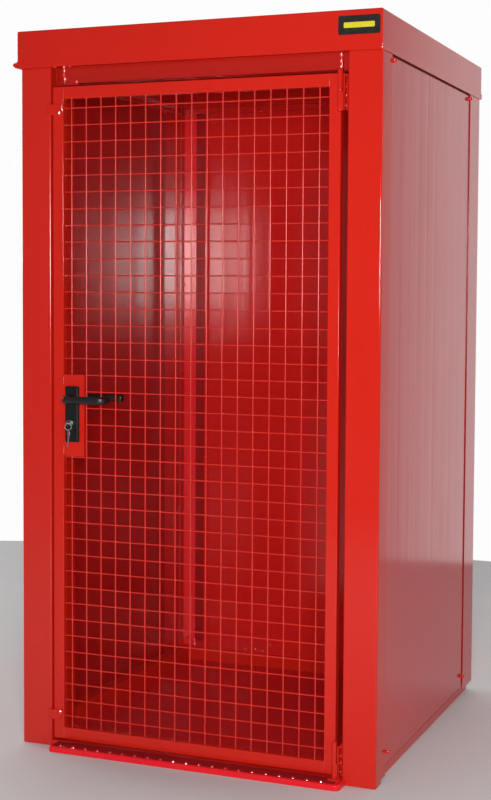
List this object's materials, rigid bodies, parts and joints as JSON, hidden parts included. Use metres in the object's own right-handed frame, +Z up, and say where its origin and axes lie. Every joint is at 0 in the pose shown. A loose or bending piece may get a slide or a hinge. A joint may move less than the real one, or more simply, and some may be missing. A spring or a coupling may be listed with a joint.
{
  "type": "gas cylinder cage",
  "caption": "Sheet-steel storage cage for upright gas bottles: ribbed walls, flat roof with a deep fascia, and an outward-opening welded-mesh door with a lever lock.",
  "frame": {"origin": "on the ground, under the middle of the overall footprint", "axes": "+Z up; the door faces -Y; +X is to the right of someone facing the door"},
  "size_m": [1.1642, 1.212, 2.176],
  "materials": {
    "red_paint": "glossy red powder coat",
    "floor_paint": "glossy dark red powder coat",
    "black_nylon": "satin black nylon",
    "bright_steel": "polished nickel plate",
    "sign_enamel": "black enamel with a plain yellow bar"
  },
  "bodies": {
    "cabin": {"base_rail_front": "red_paint", "base_rail_left": "red_paint", "base_rail_rear": "red_paint", "base_rail_right": "red_paint", "floor_plate": "floor_paint", "threshold": "red_paint", "front_post_left": "red_paint", "front_post_right": "red_paint", "rear_post_left": "red_paint", "rear_post_right": "red_paint", "side_wall_left": "red_paint", "side_wall_right": "red_paint", "rear_wall": "red_paint", "door_header": "red_paint", "top_rail_left": "red_paint", "top_rail_right": "red_paint", "top_rail_rear": "red_paint", "top_rail_front": "red_paint", "roof_sheet": "red_paint", "fascia_front": "red_paint", "fascia_rear": "red_paint", "fascia_left": "red_paint", "fascia_right": "red_paint", "roof_drip_lip": "red_paint", "sign_plate": "sign_enamel", "hinge_top_post": "red_paint", "hinge_bottom_post": "red_paint"},
    "door": {"door_stile_left": "red_paint", "door_stile_right": "red_paint", "door_rail_top": "red_paint", "door_rail_bottom": "red_paint", "door_mesh_upper": "red_paint", "door_mesh_middle": "red_paint", "door_mesh_lower": "red_paint", "lock_box": "red_paint", "escutcheon_outer": "black_nylon", "escutcheon_inner": "black_nylon", "lock_cylinder_outer": "bright_steel", "lock_cylinder_inner": "bright_steel", "hinge_top_door": "red_paint", "hinge_bottom_door": "red_paint", "stop_lug_upper": "red_paint", "stop_lug_lower": "red_paint"},
    "handle": {"lever_outer": "black_nylon", "lever_inner": "black_nylon"}
  },
  "joints": [
    {"name": "door_swing", "type": "hinge", "parent": "cabin", "child": "door", "pos_m": [0.45815, -0.545, 0], "axis": [0, 0, 1], "range_deg": [0, 170]},
    {"name": "handle_turn", "type": "hinge", "parent": "door", "child": "handle", "pos_m": [-0.38835, -0.523, 1.0745], "axis": [0, 1, 0], "range_deg": [0, 40], "stiffness_Nm_per_rad": 1.5, "springref_deg": -20.05}
  ]
}
